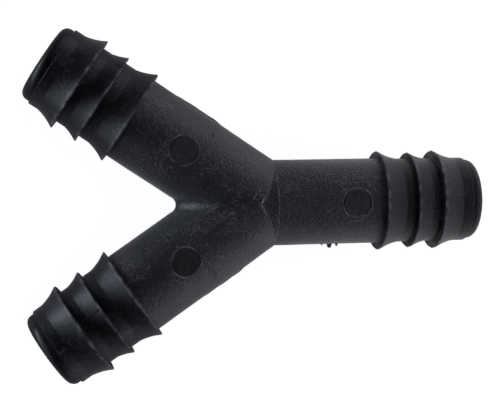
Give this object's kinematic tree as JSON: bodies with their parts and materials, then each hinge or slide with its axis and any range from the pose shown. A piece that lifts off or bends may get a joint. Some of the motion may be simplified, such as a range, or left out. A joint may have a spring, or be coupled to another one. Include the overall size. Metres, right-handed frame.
{
  "type": "barbed y hose connector",
  "caption": "Y-shaped barbed connector that joins one 19 mm irrigation hose to two, moulded in black plastic with a round water way through each limb.",
  "frame": {"origin": "on the surface that the part lies on, under the middle of its bounding box", "axes": "+X along the inlet limb towards its tip, +Z away from the surface, the three bore axes in one level plane 10.35 mm above it; the right outlet is the one on +Y, seen from the inlet"},
  "size_m": [0.0942, 0.0722, 0.0207],
  "materials": {
    "grained_plastic": "fine eroded grain with light scuffs",
    "satin_plastic": "smooth satin, nicked crests",
    "glossy_plastic": "smooth semi-gloss",
    "flash_plastic": "torn edge of flash and gate"
  },
  "bodies": {
    "root": {"y_hub": "grained_plastic", "inlet_neck": "grained_plastic", "inlet_inner_barb": "satin_plastic", "inlet_middle_barb": "satin_plastic", "inlet_outer_barb": "satin_plastic", "inlet_nose": "glossy_plastic", "right_outlet_neck": "grained_plastic", "right_outlet_inner_barb": "satin_plastic", "right_outlet_middle_barb": "satin_plastic", "right_outlet_outer_barb": "satin_plastic", "right_outlet_nose": "glossy_plastic", "left_outlet_neck": "grained_plastic", "left_outlet_inner_barb": "satin_plastic", "left_outlet_middle_barb": "satin_plastic", "left_outlet_outer_barb": "satin_plastic", "left_outlet_nose": "glossy_plastic", "parting_flash": "flash_plastic", "gate_vestige": "flash_plastic"}
  },
  "joints": []
}
